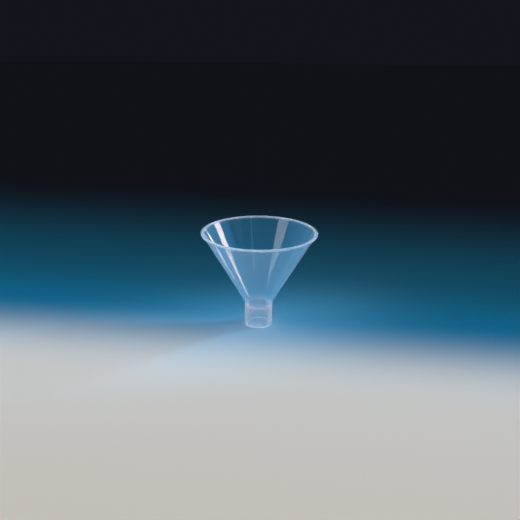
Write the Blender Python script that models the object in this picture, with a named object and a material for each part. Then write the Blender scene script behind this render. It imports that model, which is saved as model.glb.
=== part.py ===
"""Powder funnel, 100 mm: one thin moulded shell of natural polypropylene.

A 60 degree cone with a short wide stem for filling bottles and flasks with powder.  The cone ends in a
flat rim that steps outwards as a small flange, and a generous outside fillet joins it to the stem.
Frame: origin at the centre of the stem's open end, on the surface that the funnel stands on, +Z up.
"""
import math

import bpy
from mathutils import Vector

MM = 0.001

# Driving dimensions, in millimetres unless a name says otherwise.
RIM_DIAMETER = 100.0
HEIGHT = 85.0
CONE_ANGLE_DEG = 60.0           # full angle between opposite walls of the cone
WALL = 1.2                      # measured square to the cone's wall

FLANGE_STEP = 1.7               # how far the rim flange stands out from the cone, at its underside
FLANGE_THICKNESS = 1.4
FLANGE_EDGE_RADIUS = 0.5        # on the flange's two outer edges
FLANGE_ROOT_RADIUS = 0.5        # fillet between the flange's underside and the cone
RIM_INNER_RADIUS = 0.3          # round on the rim's inner edge

STEM_DIAMETER = 24.4            # outside, where the neck fillet ends
STEM_END_DIAMETER = 24.1        # outside, at the open end: the stem has a little draft
BORE_DIAMETER = 21.0            # at the throat: the stem's wall is thicker than the cone's
BORE_END_DIAMETER = 20.8        # at the open end, on the same draft
NECK_FILLET_RADIUS = 11.0       # outside, between the cone and the stem
THROAT_RADIUS = 5.0             # inside, where the cone turns into the bore
STEM_EDGE_RADIUS = 0.15         # on both edges of the stem's square-cut end

SEGMENTS = 96                   # steps round the axis
NECK_ARC_STEPS = 8
EDGE_ARC_STEPS = 3

HALF_ANGLE = math.radians(CONE_ANGLE_DEG / 2)
POLYPROPYLENE = (0.62, 0.70, 0.73, 1.0)


def round_corner(before, corner, after, radius, steps):
    """Points of the arc that rounds a corner of the outline, from its first tangent point to its last."""
    to_before = (before - corner).normalized()
    to_after = (after - corner).normalized()
    half_opening = to_before.angle(to_after) / 2
    middle = (to_before + to_after).normalized()
    centre = corner + middle * (radius / math.sin(half_opening))
    tangent = radius / math.tan(half_opening)
    first = corner + to_before * tangent - centre
    last = corner + to_after * tangent - centre
    sweep = first.angle(last)
    points = []
    for step in range(steps + 1):
        share = step / steps
        along_first = math.sin((1 - share) * sweep) / math.sin(sweep)
        along_last = math.sin(share * sweep) / math.sin(sweep)
        points.append(centre + first * along_first + last * along_last)
    return points


def cone_radius(height, offset):
    """Radius of a cone surface that lies `offset` inside the outer face, measured square to the wall."""
    radius_under_flange = RIM_DIAMETER / 2 - FLANGE_STEP
    rise = height - (HEIGHT - FLANGE_THICKNESS)
    return radius_under_flange + rise * math.tan(HALF_ANGLE) - offset / math.cos(HALF_ANGLE)


def cone_height(radius, offset):
    """Height at which that same cone surface has the given radius."""
    return HEIGHT - (cone_radius(HEIGHT, offset) - radius) / math.tan(HALF_ANGLE)


def funnel_outline():
    """Closed outline of the wall in the X-Z plane: down the outer side, then up the inner side."""
    flange_underside = HEIGHT - FLANGE_THICKNESS
    outer_neck = STEM_DIAMETER / 2
    bore = BORE_DIAMETER / 2
    corners = [
        (Vector((RIM_DIAMETER / 2, HEIGHT)), FLANGE_EDGE_RADIUS, EDGE_ARC_STEPS),
        (Vector((RIM_DIAMETER / 2, flange_underside)), FLANGE_EDGE_RADIUS, EDGE_ARC_STEPS),
        (Vector((cone_radius(flange_underside, 0), flange_underside)), FLANGE_ROOT_RADIUS, EDGE_ARC_STEPS),
        (Vector((outer_neck, cone_height(outer_neck, 0))), NECK_FILLET_RADIUS, NECK_ARC_STEPS),
        (Vector((STEM_END_DIAMETER / 2, 0)), STEM_EDGE_RADIUS, 1),
        (Vector((BORE_END_DIAMETER / 2, 0)), STEM_EDGE_RADIUS, 1),
        (Vector((bore, cone_height(bore, WALL))), THROAT_RADIUS, EDGE_ARC_STEPS),
        (Vector((cone_radius(HEIGHT, WALL), HEIGHT)), RIM_INNER_RADIUS, EDGE_ARC_STEPS),
    ]
    outline = []
    for index, (corner, radius, steps) in enumerate(corners):
        before = corners[index - 1][0]
        after = corners[(index + 1) % len(corners)][0]
        outline += round_corner(before, corner, after, radius, steps)
    return outline


def plastic_material():
    material = bpy.data.materials.new("natural_polypropylene")
    material.diffuse_color = POLYPROPYLENE
    material.use_nodes = True
    shader = material.node_tree.nodes["Principled BSDF"]
    shader.inputs["Base Color"].default_value = POLYPROPYLENE
    shader.inputs["Roughness"].default_value = 0.25
    shader.inputs["Metallic"].default_value = 0.0
    shader.inputs["Transmission Weight"].default_value = 0.6
    shader.inputs["IOR"].default_value = 1.49
    return material


def turned_object(name, outline, material):
    """One named object whose closed outline is turned a full circle about Z by a Screw modifier."""
    mesh = bpy.data.meshes.new(name)
    vertices = [(point.x * MM, 0.0, point.y * MM) for point in outline]
    edges = [(index, (index + 1) % len(outline)) for index in range(len(outline))]
    mesh.from_pydata(vertices, edges, [])
    mesh.materials.append(material)
    turned = bpy.data.objects.new(name, mesh)
    bpy.context.scene.collection.objects.link(turned)
    screw = turned.modifiers.new("turn", "SCREW")
    screw.axis = "Z"
    screw.angle = math.tau
    screw.steps = SEGMENTS
    screw.render_steps = SEGMENTS
    screw.use_merge_vertices = True
    screw.merge_threshold = 0.00001
    screw.use_smooth_shade = True
    return turned


def main():
    for old in list(bpy.data.objects):
        bpy.data.objects.remove(old, do_unlink=True)
    turned_object("funnel", funnel_outline(), plastic_material())


main()
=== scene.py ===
"""Looks of the powder funnel: one thin, slightly milky polypropylene shell on a pale studio floor."""
import math
import random

import bpy
from mathutils import Matrix, Quaternion, Vector


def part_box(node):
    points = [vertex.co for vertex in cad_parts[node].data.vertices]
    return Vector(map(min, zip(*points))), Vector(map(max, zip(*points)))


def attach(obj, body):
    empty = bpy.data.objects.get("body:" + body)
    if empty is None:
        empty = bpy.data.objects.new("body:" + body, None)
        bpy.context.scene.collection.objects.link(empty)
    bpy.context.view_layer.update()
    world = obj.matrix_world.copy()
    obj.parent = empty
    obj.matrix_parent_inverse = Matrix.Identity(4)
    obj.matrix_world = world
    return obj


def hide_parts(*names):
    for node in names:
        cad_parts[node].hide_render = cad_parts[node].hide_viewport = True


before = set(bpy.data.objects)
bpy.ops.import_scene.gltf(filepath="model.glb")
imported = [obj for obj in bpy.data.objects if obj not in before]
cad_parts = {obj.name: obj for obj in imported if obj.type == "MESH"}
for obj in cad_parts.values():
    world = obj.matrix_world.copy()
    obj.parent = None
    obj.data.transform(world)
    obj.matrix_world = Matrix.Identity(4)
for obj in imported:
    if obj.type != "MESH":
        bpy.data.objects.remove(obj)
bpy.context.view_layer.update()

MM = 0.001
random.seed(11)

# ---------------------------------------------------------------- sizes, in millimetres
_, TOP_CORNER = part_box("funnel")
RIM_RADIUS = TOP_CORNER.x / MM
HEIGHT = TOP_CORNER.z / MM
HALF_ANGLE = math.radians(30.0)      # between the cone's wall and its axis
WALL = 1.2
FLANGE_STEP = 1.7                    # how far the rim stands out from the cone
FLANGE_THICKNESS = 1.4
UNDERSIDE = HEIGHT - FLANGE_THICKNESS
STEM_RADIUS = 12.2                   # outside, where the neck's round ends
STEM_END_RADIUS = 12.05
BORE_RADIUS = 10.5                   # at the throat: the stem's wall is thicker than the cone's
BORE_END_RADIUS = 10.4

RIM_EDGE_ROUND = 0.5                 # radii of the rounds
RIM_INNER_ROUND = 0.3
NECK_ROUND = 11.0
THROAT_ROUND = 5.0                   # the turn from the cone into the bore
STEM_EDGE_ROUND = 0.15

SEGMENTS = 288                       # steps round the axis
WALL_STEP = 1.6                      # length of a step along the wall
EDGE_STEP = 0.35                     # length of the first and last step of each straight stretch

WAVE_COUNT = 10                      # the moulding's slight waviness
WAVE_DEPTH = 0.008                   # about how high the waves stand together
WAVE_LOBES = (2, 3, 4, 5, 6, 7, 9, 11)
WAVE_LENGTHS = (12, 40)              # shortest and longest wave along the wall
WAVE_SHARES = (0.6, 1.4)             # smallest and largest wave, as a share of the mean one
WAVE_FADE = 6.0                      # how far from the rim and the stem's end the waves reach full height

MOST_DEPTH = 4.0                     # plastic deeper than this looks no thicker
DEPTH_FAN = (-30, -15, 0, 15, 30)    # degrees from the normal, of the rays that measure the depth
END_FROST_AND_GLOW = 0.5                      # reach of the look round the cut end: its roughness is real, its whiteness is painted glow
NECK_HIGHLIGHT_LINE = 18.6                     # height of the milky line round the neck, partly the thick neck's own haze and partly a painted highlight
NECK_SPREAD = 1.0
FLANGE_FADE = 0.3                    # how far under the flange its look starts
STEM_FADE = (24.0, 18.0)             # heights between which the stem's look comes in, going down
CLEAR_FADE = (18.0, 6.0)             # heights between which the stem grows clearer, going down


# ---------------------------------------------------------------- outline of the wall
def round_corner(before, corner, after, radius, steps):
    """Points of the arc that rounds a corner, from its first tangent point to its last."""
    to_before = (before - corner).normalized()
    to_after = (after - corner).normalized()
    half_opening = to_before.angle(to_after) / 2
    centre = corner + (to_before + to_after).normalized() * (radius / math.sin(half_opening))
    tangent = radius / math.tan(half_opening)
    first = corner + to_before * tangent - centre
    last = corner + to_after * tangent - centre
    sweep = first.angle(last)
    points = []
    for step in range(steps + 1):
        share = step / steps
        along_first = math.sin((1 - share) * sweep) / math.sin(sweep)
        along_last = math.sin(share * sweep) / math.sin(sweep)
        points.append(centre + first * along_first + last * along_last)
    return points


def straight(start, end):
    """Points between two ends, without the ends, with a short step next to each end."""
    length = (end - start).length
    count = max(1, round(length / WALL_STEP))
    shares = [step / count for step in range(1, count)]
    if length > 3 * EDGE_STEP:
        shares = sorted(shares + [EDGE_STEP / length, 1 - EDGE_STEP / length])
    return [start.lerp(end, share) for share in shares]


def cone_radius(height, offset):
    """Radius of the cone at a height, `offset` inside its outer side."""
    rise = height - UNDERSIDE
    return RIM_RADIUS - FLANGE_STEP + rise * math.tan(HALF_ANGLE) - offset / math.cos(HALF_ANGLE)


def cone_height(radius, offset):
    """Height at which the cone has a radius, `offset` inside its outer side."""
    return HEIGHT - (cone_radius(HEIGHT, offset) - radius) / math.tan(HALF_ANGLE)


def funnel_outline():
    """Closed outline of (radius, height) points, down the outer side and up the inner side."""
    # each row: the corner, the radius of its round, the steps in the round
    corners = [
        (Vector((RIM_RADIUS, HEIGHT)), RIM_EDGE_ROUND, 6),
        (Vector((RIM_RADIUS, UNDERSIDE)), RIM_EDGE_ROUND, 6),
        (Vector((cone_radius(UNDERSIDE, 0), UNDERSIDE)), RIM_EDGE_ROUND, 5),
        (Vector((STEM_RADIUS, cone_height(STEM_RADIUS, 0))), NECK_ROUND, 14),
        (Vector((STEM_END_RADIUS, 0)), STEM_EDGE_ROUND, 3),
        (Vector((BORE_END_RADIUS, 0)), STEM_EDGE_ROUND, 3),
        (Vector((BORE_RADIUS, cone_height(BORE_RADIUS, WALL))), THROAT_ROUND, 8),
        (Vector((cone_radius(HEIGHT, WALL), HEIGHT)), RIM_INNER_ROUND, 5),
    ]
    outline = []
    for index, (corner, radius, steps) in enumerate(corners):
        before = corners[index - 1][0]
        after = corners[(index + 1) % len(corners)][0]
        arc = round_corner(before, corner, after, radius, steps)
        if outline:
            outline += straight(outline[-1], arc[0])
        outline += arc
    return outline + straight(outline[-1], outline[0])


def lengths_along(outline):
    """Length of the outline from its first point to each point."""
    lengths = [0.0]
    for index in range(1, len(outline)):
        lengths.append(lengths[-1] + (outline[index] - outline[index - 1]).length)
    return lengths


def outward_normals(outline):
    normals = []
    for index in range(len(outline)):
        run = outline[(index + 1) % len(outline)] - outline[index - 1]
        normals.append(Vector((-run.y, run.x)).normalized())
    return normals


# ---------------------------------------------------------------- what the material reads at each point
def crossing(origin, direction, start, end):
    """Distance along a ray to the line from start to end, or None where it misses."""
    run = end - start
    turn = direction.x * run.y - direction.y * run.x
    nearly_parallel = 1e-9
    if abs(turn) < nearly_parallel:
        return None
    gap = start - origin
    distance = (gap.x * run.y - gap.y * run.x) / turn
    share = (gap.x * direction.y - gap.y * direction.x) / turn
    own_surface = 1e-4
    return distance if distance > own_surface and 0 <= share <= 1 else None


def depth_behind(outline, point, inward):
    """Mean length of plastic behind a point, over a small fan of rays into the wall."""
    total = 0.0
    for lean in DEPTH_FAN:
        angle = math.radians(lean)
        ray = Vector((inward.x * math.cos(angle) - inward.y * math.sin(angle),
                      inward.x * math.sin(angle) + inward.y * math.cos(angle)))
        found = [crossing(point, ray, outline[index - 1], outline[index]) for index in range(len(outline))]
        total += min([MOST_DEPTH] + [distance for distance in found if distance is not None])
    return total / len(DEPTH_FAN)


def fade(value, start, end):
    """0 at start, 1 at end, in proportion between them and level past them."""
    return min(1.0, max(0.0, (value - start) / (end - start)))


def surface_marks(outline, normals):
    """The attributes of the wall's surface, as one list each with a value for each outline point."""
    cut_edges = (Vector((STEM_END_RADIUS, 0)), Vector((BORE_END_RADIUS, 0)))
    marks = {"depth": [], "cut_end": [], "neck": [], "flange": [], "stem": [], "clear": []}
    for point, normal in zip(outline, normals):
        marks["depth"].append(depth_behind(outline, point, -normal))
        # the cut end's mark drives real roughness and a whiteness that is painted glow
        marks["cut_end"].append(fade(min((point - edge).length for edge in cut_edges), END_FROST_AND_GLOW, 0.0))
        # the neck's band is partly the thick plastic's haze and partly a painted highlight
        marks["neck"].append(math.exp(-((point.y - NECK_HIGHLIGHT_LINE) / NECK_SPREAD) ** 2))
        marks["flange"].append(fade(point.y, UNDERSIDE - FLANGE_FADE, UNDERSIDE))
        marks["stem"].append(fade(point.y, *STEM_FADE))
        marks["clear"].append(fade(point.y, *CLEAR_FADE))
    return marks


# ---------------------------------------------------------------- the wall, turned round the axis
def make_waves():
    """The moulding's waves, each as (lobes round the axis, length along the wall, phase, hand, height)."""
    waves = []
    for _ in range(WAVE_COUNT):
        lobes = random.choice(WAVE_LOBES)
        length = random.uniform(*WAVE_LENGTHS)
        phase = random.uniform(0, math.tau)
        hand = random.choice((-1, 1))
        height = WAVE_DEPTH / math.sqrt(WAVE_COUNT) * random.uniform(*WAVE_SHARES)
        waves.append((lobes, length, phase, hand, height))
    return waves


def wave_height(waves, angle, along):
    total = 0.0
    for lobes, length, phase, hand, height in waves:
        total += height * math.sin(lobes * angle + hand * math.tau * along / length + phase)
    return total


def wall_vertices(outline, normals):
    waves = make_waves()
    lengths = lengths_along(outline)
    wavy = [fade(point.y, UNDERSIDE, UNDERSIDE - WAVE_FADE) * fade(point.y, 0.0, WAVE_FADE)
            for point in outline]
    vertices = []
    for segment in range(SEGMENTS):
        angle = math.tau * segment / SEGMENTS
        for point, normal, length, share in zip(outline, normals, lengths, wavy):
            moved = point + normal * (share * wave_height(waves, angle, length))
            vertices.append((moved.x * MM * math.cos(angle), moved.x * MM * math.sin(angle), moved.y * MM))
    return vertices


def wall_faces(count):
    """Quads between neighbouring copies of a closed outline of `count` points."""
    faces = []
    for segment in range(SEGMENTS):
        here = segment * count
        there = (segment + 1) % SEGMENTS * count
        for index in range(count):
            following = (index + 1) % count
            faces.append((here + index, here + following, there + following, there + index))
    return faces


def turned_wall(name, outline, material):
    normals = outward_normals(outline)
    mesh = bpy.data.meshes.new(name)
    mesh.from_pydata(wall_vertices(outline, normals), [], wall_faces(len(outline)))
    for label, values in surface_marks(outline, normals).items():
        layer = mesh.attributes.new(label, "FLOAT", "POINT")
        layer.data.foreach_set("value", values * SEGMENTS)
    mesh.materials.append(material)
    mesh.shade_smooth()
    wall = bpy.data.objects.new(name, mesh)
    bpy.context.scene.collection.objects.link(wall)
    return wall


# ---------------------------------------------------------------- shader nodes
def node(tree, kind, **settings):
    made = tree.nodes.new(kind)
    for key, value in settings.items():
        setattr(made, key, value)
    return made


def feed(tree, socket, value):
    """Link a socket to an output, or set it to a plain value."""
    if isinstance(value, bpy.types.NodeSocket):
        tree.links.new(value, socket)
    else:
        socket.default_value = value


def calculate(tree, operation, *values, clamp=False):
    made = node(tree, "ShaderNodeMath", operation=operation, use_clamp=clamp)
    for socket, value in zip(made.inputs, values):
        feed(tree, socket, value)
    return made.outputs[0]


def ramp(tree, value, low, high, to_low=0.0, to_high=1.0):
    """A smooth step from to_low at low to to_high at high."""
    made = node(tree, "ShaderNodeMapRange", interpolation_type="SMOOTHSTEP")
    for socket, entry in zip(made.inputs, (value, low, high, to_low, to_high)):
        feed(tree, socket, entry)
    return made.outputs[0]


def attribute(tree, name):
    return node(tree, "ShaderNodeAttribute", attribute_name=name).outputs["Fac"]


def noise(tree, scale, stretch=(1, 1, 1), detail=2.0):
    mapping = node(tree, "ShaderNodeMapping")
    feed(tree, mapping.inputs["Vector"], node(tree, "ShaderNodeTexCoord").outputs["Object"])
    feed(tree, mapping.inputs["Scale"], stretch)
    made = node(tree, "ShaderNodeTexNoise")
    feed(tree, made.inputs["Vector"], mapping.outputs[0])
    feed(tree, made.inputs["Scale"], scale)
    feed(tree, made.inputs["Detail"], detail)
    return made.outputs["Fac"]


def blend(tree, share, first, second):
    """The first colour where the share is 0 and the second where it is 1."""
    made = node(tree, "ShaderNodeMix", data_type="RGBA")
    feed(tree, made.inputs["Factor"], share)
    feed(tree, made.inputs[6], first)
    feed(tree, made.inputs[7], second)
    return made.outputs[2]


def blend_shaders(tree, share, first, second):
    """The first shader where the share is 0 and the second where it is 1."""
    made = node(tree, "ShaderNodeMixShader")
    for socket, value in zip(made.inputs, (share, first, second)):
        feed(tree, socket, value)
    return made.outputs[0]


# ---------------------------------------------------------------- natural polypropylene
INDEX = 1.49
CLEAR_TINT = (0.95, 0.97, 0.98, 1.0)
ROUGH = 0.012
RING_ROUGH = 0.015                   # added in the rings
END_ROUGH = 0.25                     # added at the cut end

HAZE = 0.08                          # share of the light that a thin wall scatters at each surface
THICK_HAZE = 0.55                    # the same where the plastic is thick
THICK_DEPTHS = (1.5, 3.0)            # depths between which it turns thick
EDGE_HAZE = 0.28                     # added towards grazing angles
NECK_HAZE_AND_HIGHLIGHT = 0.14                     # added at the neck's line, partly the thick neck's haze and partly a painted highlight
FLANGE_HAZE = 0.03                   # added in the flange
STEM_EDGE_HAZE = 0.85                # added towards the sides of the stem
STEM_CLEARER = -0.143                # added towards the stem's end
END_HAZE_AND_GLOW = 0.8                       # added at the cut end, partly frosting and partly painted glow
GRAZING_POWER = 2.0

CLOUD_SCALE = 22.0                   # the soft clouds in the haze
CLOUD_DETAIL = 3.0
CLOUD_LIMITS = (0.25, 0.75)          # noise at which a cloud is thinnest and thickest
CLOUD_HAZE = (0.88, 1.12)            # what the haze is multiplied by there
RING_SCALE = 60.0                    # the turned mould's fine rings
RING_STRETCH = (0.2, 0.2, 18.0)
RING_LIMITS = (0.2, 0.8)
RING_HAZE = (0.93, 1.07)

BACK_MILK_PAINTED_BLUE = (0.08, 0.60, 1.00, 1.0)      # light scattered back by a thin wall; its strong blue is painted blue light over the plastic's faint blue
FORWARD_MILK_PAINTED_BLUE = (0.48, 0.74, 1.00, 1.0)   # light scattered forward by a thin wall; its blue is painted blue light over the plastic's faint blue
THICK_MILK = (0.80, 0.92, 1.00, 1.0)
STEM_MILK = (0.92, 0.90, 0.91, 1.0)
WHITE_DEPTHS = (1.2, 2.2)            # depths between which the milk turns from blue to white
EDGE_WHITENESS = 0.6                 # whiteness added towards grazing angles
BACK_SHARE = 0.5                     # share of the scattered light that turns back


def haze_share(tree, grazing, rings):
    """How much of the light is scattered instead of passing clear through the surface."""
    stem_sides = calculate(tree, "MULTIPLY", attribute(tree, "stem"), grazing)
    thick = ramp(tree, attribute(tree, "depth"), *THICK_DEPTHS)
    haze = calculate(tree, "MULTIPLY_ADD", thick, THICK_HAZE - HAZE, HAZE)
    haze = calculate(tree, "MULTIPLY_ADD", grazing, EDGE_HAZE, haze)
    # the neck's line: partly haze of the thick neck, partly a painted highlight
    haze = calculate(tree, "MULTIPLY_ADD", attribute(tree, "neck"), NECK_HAZE_AND_HIGHLIGHT, haze)
    haze = calculate(tree, "MULTIPLY_ADD", attribute(tree, "flange"), FLANGE_HAZE, haze)
    haze = calculate(tree, "MULTIPLY_ADD", stem_sides, STEM_EDGE_HAZE, haze)
    haze = calculate(tree, "MULTIPLY_ADD", attribute(tree, "clear"), STEM_CLEARER, haze)
    # the cut end: partly frosting, partly painted glow
    haze = calculate(tree, "MULTIPLY_ADD", attribute(tree, "cut_end"), END_HAZE_AND_GLOW, haze, clamp=True)
    clouds = noise(tree, CLOUD_SCALE, detail=CLOUD_DETAIL)
    haze = calculate(tree, "MULTIPLY", haze, ramp(tree, clouds, *CLOUD_LIMITS, *CLOUD_HAZE))
    return calculate(tree, "MULTIPLY", haze, ramp(tree, rings, *RING_LIMITS, *RING_HAZE))


def milk_shader(tree, grazing):
    """The scattered light: blue from a thin wall, painted blue light over the plastic's faint blue; white
    from thick plastic; neutral from the stem.
    """
    white = ramp(tree, attribute(tree, "depth"), *WHITE_DEPTHS)
    # whiter at the neck's line, partly a painted highlight, and at the cut end, partly painted glow; the
    # flange is whiter for its thick plastic
    for mark in ("cut_end", "neck", "flange"):
        white = calculate(tree, "MAXIMUM", white, attribute(tree, mark))
    white = calculate(tree, "MULTIPLY_ADD", grazing, EDGE_WHITENESS, white, clamp=True)
    stem = attribute(tree, "stem")
    forward = node(tree, "ShaderNodeBsdfTranslucent")
    # the thin wall's blue in these colours is painted blue light
    forward_milk_and_blue_light = blend(tree, white, FORWARD_MILK_PAINTED_BLUE, THICK_MILK)
    feed(tree, forward.inputs["Color"], blend(tree, stem, forward_milk_and_blue_light, STEM_MILK))
    back = node(tree, "ShaderNodeBsdfDiffuse")
    back_milk_and_blue_light = blend(tree, white, BACK_MILK_PAINTED_BLUE, THICK_MILK)
    feed(tree, back.inputs["Color"], blend(tree, stem, back_milk_and_blue_light, STEM_MILK))
    return blend_shaders(tree, BACK_SHARE, forward.outputs[0], back.outputs[0])


def polypropylene():
    material = bpy.data.materials.new("natural_polypropylene")
    material.use_nodes = True
    tree = material.node_tree
    grazing = calculate(tree, "POWER", node(tree, "ShaderNodeLayerWeight").outputs["Facing"], GRAZING_POWER)
    rings = noise(tree, RING_SCALE, RING_STRETCH)
    rough = calculate(tree, "MULTIPLY_ADD", rings, RING_ROUGH, ROUGH)
    rough = calculate(tree, "MULTIPLY_ADD", attribute(tree, "cut_end"), END_ROUGH, rough)
    clear = tree.nodes["Principled BSDF"]
    clear.inputs["Base Color"].default_value = CLEAR_TINT
    clear.inputs["Transmission Weight"].default_value = 1.0
    clear.inputs["IOR"].default_value = INDEX
    feed(tree, clear.inputs["Roughness"], rough)
    haze = haze_share(tree, grazing, rings)
    surface = blend_shaders(tree, haze, clear.outputs[0], milk_shader(tree, grazing))
    feed(tree, tree.nodes["Material Output"].inputs["Surface"], surface)
    return material


# ---------------------------------------------------------------- stage
FLOOR_REACH = 4.0


def pale_floor():
    mesh = bpy.data.meshes.new("studio_floor")
    corners = [(-FLOOR_REACH, -FLOOR_REACH, 0), (FLOOR_REACH, -FLOOR_REACH, 0),
               (FLOOR_REACH, FLOOR_REACH, 0), (-FLOOR_REACH, FLOOR_REACH, 0)]
    mesh.from_pydata(corners, [], [(0, 1, 2, 3)])
    material = bpy.data.materials.new("pale_floor")
    material.use_nodes = True
    shader = material.node_tree.nodes["Principled BSDF"]
    shader.inputs["Base Color"].default_value = (0.80, 0.80, 0.80, 1.0)
    shader.inputs["Roughness"].default_value = 0.9
    shader.inputs["Specular IOR Level"].default_value = 0.1
    mesh.materials.append(material)
    ground = bpy.data.objects.new("studio_floor", mesh)
    bpy.context.scene.collection.objects.link(ground)
    return ground


def dim_world():
    world = bpy.data.worlds.new("dim_studio")
    world.use_nodes = True
    back = world.node_tree.nodes["Background"]
    back.inputs["Color"].default_value = (0.0065, 0.0076, 0.0115, 1)
    back.inputs["Strength"].default_value = 1.0
    bpy.context.scene.world = world


# ---------------------------------------------------------------- kinds of light
BOWL_CENTRE = Vector((0, 0, 0.05))
BOX_DISTANCE = 0.9                   # from the bowl's centre to a box that is reflected
OVERHEAD_WIDTH = 4.0
OVERHEAD_HEIGHT = 0.55
OVERHEAD_TURN = math.radians(-8.0)   # the bands of light on the floor run a little askew


def radiance(value, size):
    """Power in watts of an area light whose face has the given radiance."""
    return value * math.pi * size[0] * size[1]


def softbox(name, centre, towards, size, power, colour=(1, 1, 1), spread=180, turn=0.0, shape="RECTANGLE"):
    """An area light at a centre, facing the direction `towards`, hidden from the camera."""
    data = bpy.data.lights.new(name, "AREA")
    data.shape = shape
    data.size, data.size_y = size
    data.energy = power
    data.color = colour
    data.spread = math.radians(spread)
    light = bpy.data.objects.new(name, data)
    light.location = centre
    light.rotation_mode = "QUATERNION"
    facing = (-Vector(towards)).to_track_quat("Z", "Y")
    light.rotation_quaternion = Quaternion((0, 0, 1), turn) @ facing
    light.visible_camera = False
    bpy.context.scene.collection.objects.link(light)
    return light


def group_of(name, member):
    group = bpy.data.collections.new(name)
    group.objects.link(member)
    return group


def light_only(light, thing):
    light.light_linking.receiver_collection = group_of(light.name + "_lights", thing)


def blocked_only_by(light, thing):
    light.light_linking.blocker_collection = group_of(light.name + "_blockers", thing)


def never_reflected(light):
    """Keep a light out of reflections and out of what is seen through the clear plastic."""
    light.visible_glossy = False
    light.visible_transmission = False
    light.data.cycles.use_multiple_importance_sampling = False


def overhead(name, near, far, spread, level, ground):
    """A gridded softbox facing straight down over the strip of floor from y = near to y = far."""
    size = (OVERHEAD_WIDTH, far - near)
    middle = (near + far) / 2
    centre = (-middle * math.sin(OVERHEAD_TURN), middle * math.cos(OVERHEAD_TURN), OVERHEAD_HEIGHT)
    strength = max(level)
    light = softbox(name, centre, (0, 0, -1), size, radiance(strength, size),
                    [part / strength for part in level], spread, OVERHEAD_TURN)
    never_reflected(light)
    blocked_only_by(light, ground)
    light_only(light, ground)


def wrap(name, centre, size, level, colour, funnel):
    """A softbox that lights the milkiness of the funnel and isn't reflected in it."""
    centre = Vector(centre)
    light = softbox(name, centre, BOWL_CENTRE - centre, size, radiance(level, size), colour)
    light_only(light, funnel)
    never_reflected(light)
    return light


def reflected(name, direction, size, level, colour, funnel, shape="RECTANGLE", distance=BOX_DISTANCE):
    """A softbox, seen from the bowl in some direction, that only shows as a reflection in the funnel."""
    direction = Vector(direction).normalized()
    centre = BOWL_CENTRE + direction * distance
    light = softbox(name, centre, -direction, size, radiance(level, size), colour, shape=shape)
    light_only(light, funnel)
    light.visible_diffuse = False


# ---------------------------------------------------------------- the lights, in metres
BEHIND = 0.005                       # gap between two boxes that add up in the same direction
STRIP_DISTANCE = 0.5                 # the thin strips hang closer
STRIP_BEHIND = 0.002
BLUE_RISE = 0.45                     # height of the blue panels' direction, over its length along the floor
BLUE_HEIGHT = 0.5
BLUE = (0.12, 0.52, 1.0)
# each row: where a panel starts and ends, in degrees round the axis, and its level
BLUE_PANELS = ((0, 60, 0.5), (-12, 62, 0.5), (-24, 64, 0.4), (128, 188, 0.4), (128, 204, 0.3),
               (128, 222, 0.2), (128, 245, 0.1))
SHADOW_SIZE = (0.12, 0.12)


def light_floor(ground):
    """The pale foreground, and the blue that runs from under the funnel into the dark."""
    overhead("white_pool", -1.61, -0.046, 15, (0.68, 0.62, 0.55), ground)
    overhead("blue_near", -0.03, 0.01, 25, (0.0, 0.20, 0.50), ground)
    overhead("blue_far", -0.07, 0.11, 75, (0.0, 0.203, 0.366), ground)


def light_milk(funnel, ground):
    """Soft light on the milky plastic, from above through the wall and from low in front."""
    above = wrap("top_soft", (0, -0.1, 0.6), (0.8, 0.8), 3.9, (0.85, 0.95, 1.12), funnel)
    blocked_only_by(above, ground)
    wrap("front_soft", (0, -0.7, 0.045), (0.8, 0.07), 21.0, (0.97, 0.95, 1.04), funnel)


def light_streaks(funnel):
    """The streaks on the wall: each is the reflection of a box."""
    # the broad bright streak on the left, and a second box that brightens it below the rim
    reflected("key", (0.8865, 0.308, 0.344), (0.215, 0.30), 10.0, (1.0, 0.77, 0.70), funnel)
    reflected("key_low", (0.9028, 0.3137, 0.297), (0.30, 0.07), 9.0, (1.0, 0.50, 0.20), funnel,
              distance=BOX_DISTANCE + BEHIND)
    # the soft streak on the right
    reflected("window", (-0.688, -0.361, 0.63), (0.34, 0.27), 1.8, (0.92, 0.95, 1.1), funnel, "ELLIPSE")
    # the thin bright line at the far left, from two boxes one behind the other
    strip = (0.456, 0.889, 0.013)
    strip_size = (0.034, 0.11)
    strip_colour = (1, 0.84, 0.78)
    reflected("strip_a", strip, strip_size, 10, strip_colour, funnel, distance=STRIP_DISTANCE)
    reflected("strip_a2", strip, strip_size, 9, strip_colour, funnel, distance=STRIP_DISTANCE + STRIP_BEHIND)
    # the thin dim line at the far right
    reflected("strip_b", (-0.734, 0.650, 0.17), (0.03, 0.075), 1.2, (1, 1, 1), funnel,
              distance=STRIP_DISTANCE)


def light_sides(funnel):
    """Blue panels that overlap, so that their light fades out round the sides of the bowl."""
    for turn_from, turn_to, level in BLUE_PANELS:
        middle = math.radians((turn_from + turn_to) / 2)
        half = math.radians((turn_to - turn_from) / 2)
        direction = (math.cos(middle), math.sin(middle), BLUE_RISE)
        size = (2 * BOX_DISTANCE * math.tan(half), BLUE_HEIGHT)
        reflected(f"blue_{turn_from}_{turn_to}", direction, size, level, BLUE, funnel)


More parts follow.
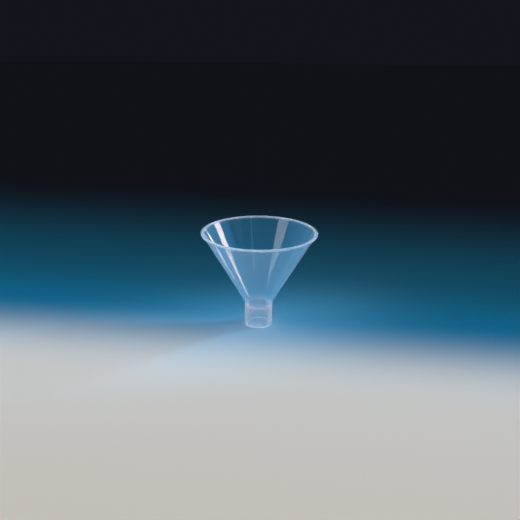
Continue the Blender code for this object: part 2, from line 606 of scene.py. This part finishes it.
def light_faint_streaks(funnel):
    """The faint line in the middle, above and below the rim, and the faint fan on the left."""
    reflected("centre", (0.280, -0.685, 0.668), (0.012, 0.20), 3.0, (0.7, 0.9, 1), funnel)
    reflected("centre_low", (0.3180, -0.7390, 0.5948), (0.012, 0.19), 9.0, (0.9, 0.95, 1), funnel,
              distance=BOX_DISTANCE + BEHIND)
    reflected("fan", (0.653, -0.38, 0.68), (0.26, 0.24), 0.16, (0.5, 0.9, 1), funnel, "ELLIPSE")


def cast_shadow(ground):
    """A narrow beam from the key's side, which the funnel shades on the floor to its left."""
    light = softbox("key_floor", Vector((0.876, 0.340, 0.54)) * 0.9, Vector((-0.843, -0.336, -0.486)),
                    SHADOW_SIZE, radiance(0.36, SHADOW_SIZE), (0.12, 0.58, 1.0), spread=8)
    light_only(light, ground)
    never_reflected(light)


# ---------------------------------------------------------------- camera
CAMERA_PLACE = (0.0, -0.536, 0.2532)
CAMERA_PITCH = math.radians(19.89)   # down from level
CAMERA_ROLL = math.radians(0.59)
CAMERA_YAW = math.radians(0.09)
CAMERA_LENS = 45.42                  # millimetres
SENSOR_WIDTH = 36.0                  # millimetres


def place_camera():
    data = bpy.data.cameras.new("camera")
    data.sensor_width = SENSOR_WIDTH
    data.lens = CAMERA_LENS
    camera = bpy.data.objects.new("camera", data)
    bpy.context.scene.collection.objects.link(camera)
    camera.location = CAMERA_PLACE
    camera.rotation_mode = "QUATERNION"
    tilt = Matrix.Rotation(math.pi / 2 - CAMERA_PITCH, 4, "X")
    turn = Matrix.Rotation(-CAMERA_YAW, 4, "Z") @ tilt @ Matrix.Rotation(CAMERA_ROLL, 4, "Z")
    camera.rotation_quaternion = turn.to_quaternion()
    bpy.context.scene.camera = camera


# ---------------------------------------------------------------- the scene
piece = turned_wall("funnel_wall", funnel_outline(), polypropylene())
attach(piece, "root")
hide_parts("funnel")

floor = pale_floor()
dim_world()
light_floor(floor)
light_milk(piece, floor)
light_streaks(piece)
light_sides(piece)
light_faint_streaks(piece)
cast_shadow(floor)
place_camera()
bpy.context.scene.view_settings.view_transform = "Standard"
